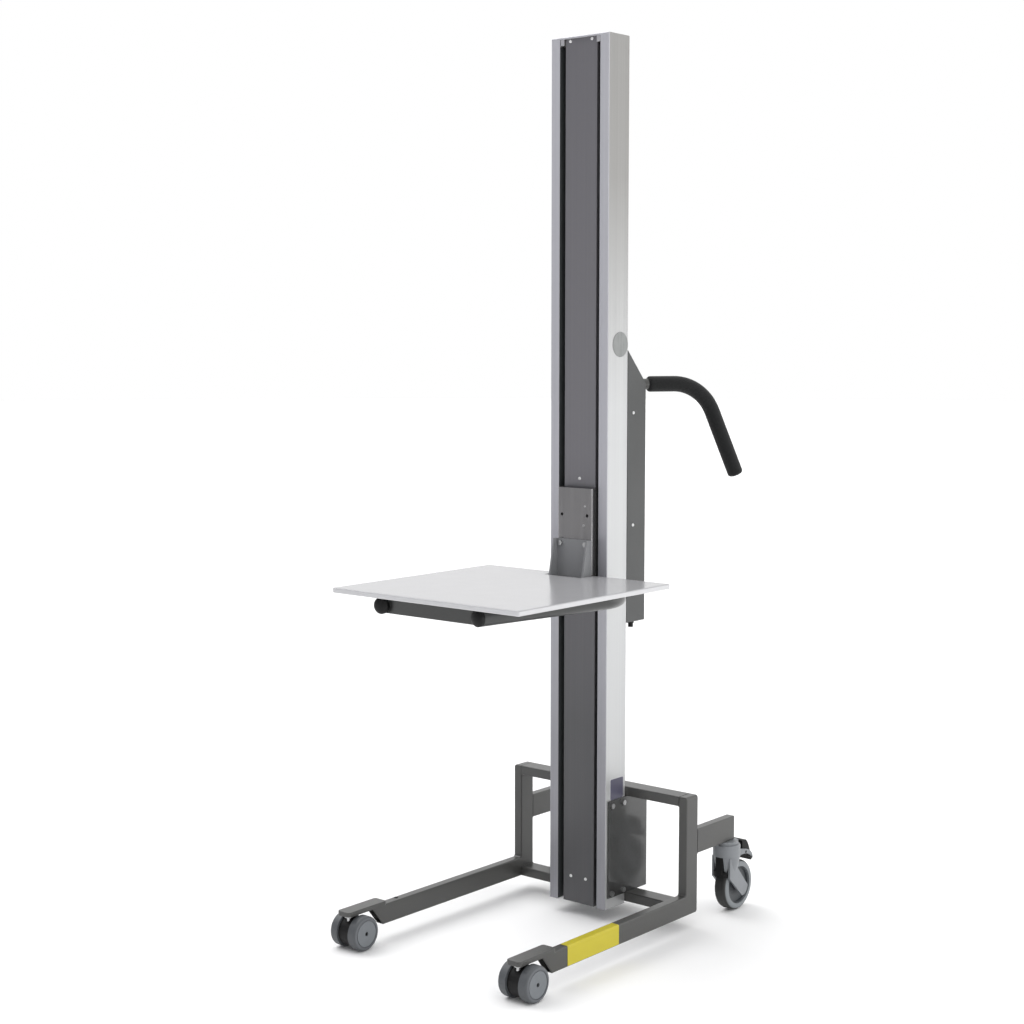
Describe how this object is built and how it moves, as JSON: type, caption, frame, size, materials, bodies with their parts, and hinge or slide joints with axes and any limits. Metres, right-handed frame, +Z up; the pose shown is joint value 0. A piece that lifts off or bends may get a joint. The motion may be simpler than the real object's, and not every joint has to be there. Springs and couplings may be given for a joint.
{
  "type": "material lift",
  "caption": "Slim battery-powered material lift: wheeled tube frame, extruded mast, belt-driven carriage with a flat platform on a bent tube fork, control box and two handles.",
  "frame": {"origin": "on the floor, under the middle of the overall box", "axes": "+Z up, -Y towards the platform and front wheels, +X to the right seen from the platform"},
  "size_m": [0.499, 0.804, 1.779],
  "materials": {
    "anodised": "satin clear anodised extrusion",
    "cover_sheet": "grey anodised sheet",
    "frame_paint": "semi-gloss dark grey powder coat",
    "bare_steel": "vertically brushed",
    "zinc_fastener": "bright zinc plated",
    "machined_alloy": "machined",
    "motor_grey": "satin grey",
    "belt_rubber": "matt",
    "box_shell": "satin dark grey",
    "panel_plastic": "fine texture",
    "button_plastic": "semi-gloss",
    "battery_case": "moulded",
    "circuit_board": "solder resist",
    "black_plastic": "moulded",
    "handle_tube": "satin dark grey powder coat",
    "grip_foam": "fine closed-cell foam",
    "white_plastic": "smooth gloss",
    "roller_plastic": "natural acetal",
    "wheel_grey": "moulded grey",
    "caster_grey": "moulded light grey",
    "tyre_grey": "grey soft tread",
    "hub_dark": "moulded dark grey"
  },
  "bodies": {
    "base": {"battery_pack": "battery_case", "bottom_bar": "frame_paint", "bracket_bolts": "zinc_fastener", "charge_socket": "black_plastic", "control_board": "circuit_board", "control_box": "box_shell", "control_panel": "panel_plastic", "cover_blocks": "machined_alloy", "drive_belt": "belt_rubber", "front_cover": "cover_sheet", "front_stems": "zinc_fastener", "gear_motor": "motor_grey", "grip_left": "grip_foam", "grip_right": "grip_foam", "handle_left": "handle_tube", "handle_right": "handle_tube", "idler_bracket": "zinc_fastener", "mast_bracket": "frame_paint", "mast_profile": "anodised", "mast_top_cap": "anodised", "rear_bar_left": "frame_paint", "rear_bar_right": "frame_paint", "rear_stems": "caster_grey", "side_frame_left": "frame_paint", "side_frame_right": "frame_paint", "top_bar": "frame_paint"},
    "carriage": {"carriage_plate": "bare_steel", "carriage_frame": "bare_steel", "roller_pins": "zinc_fastener", "tool_bracket": "bare_steel", "tool_bolts": "zinc_fastener", "fork_tube": "frame_paint", "fork_cross_bar": "frame_paint", "fork_caps": "black_plastic", "platform": "white_plastic"},
    "drive_pulley_body": {"drive_pulley": "machined_alloy"},
    "idler_pulley_body": {"idler_pulley": "machined_alloy"},
    "up_button_body": {"up_button": "button_plastic"},
    "down_button_body": {"down_button": "button_plastic"},
    "lower_roller_left_body": {"lower_roller_left": "roller_plastic"},
    "upper_roller_left_body": {"upper_roller_left": "roller_plastic"},
    "front_swivel_left": {"front_hood_left": "black_plastic"},
    "front_inner_wheel_left_body": {"front_inner_wheel_left": "wheel_grey"},
    "front_outer_wheel_left_body": {"front_outer_wheel_left": "wheel_grey"},
    "rear_swivel_left": {"rear_fork_left": "caster_grey", "rear_guard_left": "black_plastic"},
    "rear_wheel_left_body": {"rear_tyre_left": "tyre_grey", "rear_hub_left": "hub_dark"},
    "brake_pedal_left_body": {"brake_pedal_left": "black_plastic"},
    "lower_roller_right_body": {"lower_roller_right": "roller_plastic"},
    "upper_roller_right_body": {"upper_roller_right": "roller_plastic"},
    "front_swivel_right": {"front_hood_right": "black_plastic"},
    "front_inner_wheel_right_body": {"front_inner_wheel_right": "wheel_grey"},
    "front_outer_wheel_right_body": {"front_outer_wheel_right": "wheel_grey"},
    "rear_swivel_right": {"rear_fork_right": "caster_grey", "rear_guard_right": "black_plastic"},
    "rear_wheel_right_body": {"rear_tyre_right": "tyre_grey", "rear_hub_right": "hub_dark"},
    "brake_pedal_right_body": {"brake_pedal_right": "black_plastic"}
  },
  "joints": [
    {"name": "lift", "type": "slide", "parent": "base", "child": "carriage", "axis": [0, 0, 1], "range_m": [-0.61, 0.86]},
    {"name": "drive_pulley_turn", "type": "hinge", "parent": "base", "child": "drive_pulley_body", "pos_m": [0, 0.10358, 0.11], "axis": [0, 1, 0], "continuous": true},
    {"name": "idler_pulley_turn", "type": "hinge", "parent": "base", "child": "idler_pulley_body", "pos_m": [0, 0.10358, 1.72], "axis": [0, 1, 0], "continuous": true},
    {"name": "up_button_press", "type": "slide", "parent": "base", "child": "up_button_body", "axis": [0, -0.7376, -0.6753], "range_m": [0, 0.0015], "stiffness_N_per_m": 400},
    {"name": "down_button_press", "type": "slide", "parent": "base", "child": "down_button_body", "axis": [0, -0.7376, -0.6753], "range_m": [0, 0.0015], "stiffness_N_per_m": 400},
    {"name": "lower_roller_left_turn", "type": "hinge", "parent": "carriage", "child": "lower_roller_left_body", "pos_m": [-0.0455, 0.10358, 0.715], "axis": [1, 0, 0], "continuous": true},
    {"name": "upper_roller_left_turn", "type": "hinge", "parent": "carriage", "child": "upper_roller_left_body", "pos_m": [-0.0455, 0.10358, 0.855], "axis": [1, 0, 0], "continuous": true},
    {"name": "front_caster_left_swivel", "type": "hinge", "parent": "base", "child": "front_swivel_left", "pos_m": [-0.215, -0.38142, 0.07], "axis": [0, 0, 1], "continuous": true},
    {"name": "front_inner_wheel_left_roll", "type": "hinge", "parent": "front_swivel_left", "child": "front_inner_wheel_left_body", "pos_m": [-0.215, -0.36742, 0.034], "axis": [1, 0, 0], "continuous": true},
    {"name": "front_outer_wheel_left_roll", "type": "hinge", "parent": "front_swivel_left", "child": "front_outer_wheel_left_body", "pos_m": [-0.215, -0.36742, 0.034], "axis": [1, 0, 0], "continuous": true},
    {"name": "rear_caster_left_swivel", "type": "hinge", "parent": "base", "child": "rear_swivel_left", "pos_m": [-0.215, 0.29158, 0.1442], "axis": [0, 0, 1], "continuous": true},
    {"name": "rear_wheel_left_roll", "type": "hinge", "parent": "rear_swivel_left", "child": "rear_wheel_left_body", "pos_m": [-0.215, 0.31758, 0.052], "axis": [1, 0, 0], "continuous": true},
    {"name": "brake_pedal_left_press", "type": "hinge", "parent": "rear_swivel_left", "child": "brake_pedal_left_body", "pos_m": [-0.215, 0.33058, 0.121], "axis": [1, 0, 0], "range_deg": [-12, 0]},
    {"name": "lower_roller_right_turn", "type": "hinge", "parent": "carriage", "child": "lower_roller_right_body", "pos_m": [0.0455, 0.10358, 0.715], "axis": [1, 0, 0], "continuous": true},
    {"name": "upper_roller_right_turn", "type": "hinge", "parent": "carriage", "child": "upper_roller_right_body", "pos_m": [0.0455, 0.10358, 0.855], "axis": [1, 0, 0], "continuous": true},
    {"name": "front_caster_right_swivel", "type": "hinge", "parent": "base", "child": "front_swivel_right", "pos_m": [0.215, -0.38142, 0.07], "axis": [0, 0, 1], "continuous": true},
    {"name": "front_inner_wheel_right_roll", "type": "hinge", "parent": "front_swivel_right", "child": "front_inner_wheel_right_body", "pos_m": [0.215, -0.36742, 0.034], "axis": [1, 0, 0], "continuous": true},
    {"name": "front_outer_wheel_right_roll", "type": "hinge", "parent": "front_swivel_right", "child": "front_outer_wheel_right_body", "pos_m": [0.215, -0.36742, 0.034], "axis": [1, 0, 0], "continuous": true},
    {"name": "rear_caster_right_swivel", "type": "hinge", "parent": "base", "child": "rear_swivel_right", "pos_m": [0.215, 0.29158, 0.1442], "axis": [0, 0, 1], "continuous": true},
    {"name": "rear_wheel_right_roll", "type": "hinge", "parent": "rear_swivel_right", "child": "rear_wheel_right_body", "pos_m": [0.215, 0.31758, 0.052], "axis": [1, 0, 0], "continuous": true},
    {"name": "brake_pedal_right_press", "type": "hinge", "parent": "rear_swivel_right", "child": "brake_pedal_right_body", "pos_m": [0.215, 0.33058, 0.121], "axis": [1, 0, 0], "range_deg": [-12, 0]}
  ],
  "couplings": [
    {"joint": "drive_pulley_turn", "follows": "lift", "rad_per_m": -39.526},
    {"joint": "idler_pulley_turn", "follows": "lift", "rad_per_m": -39.526},
    {"joint": "lower_roller_left_turn", "follows": "lift", "rad_per_m": -83.333},
    {"joint": "upper_roller_left_turn", "follows": "lift", "rad_per_m": 83.333},
    {"joint": "lower_roller_right_turn", "follows": "lift", "rad_per_m": -83.333},
    {"joint": "upper_roller_right_turn", "follows": "lift", "rad_per_m": 83.333}
  ]
}
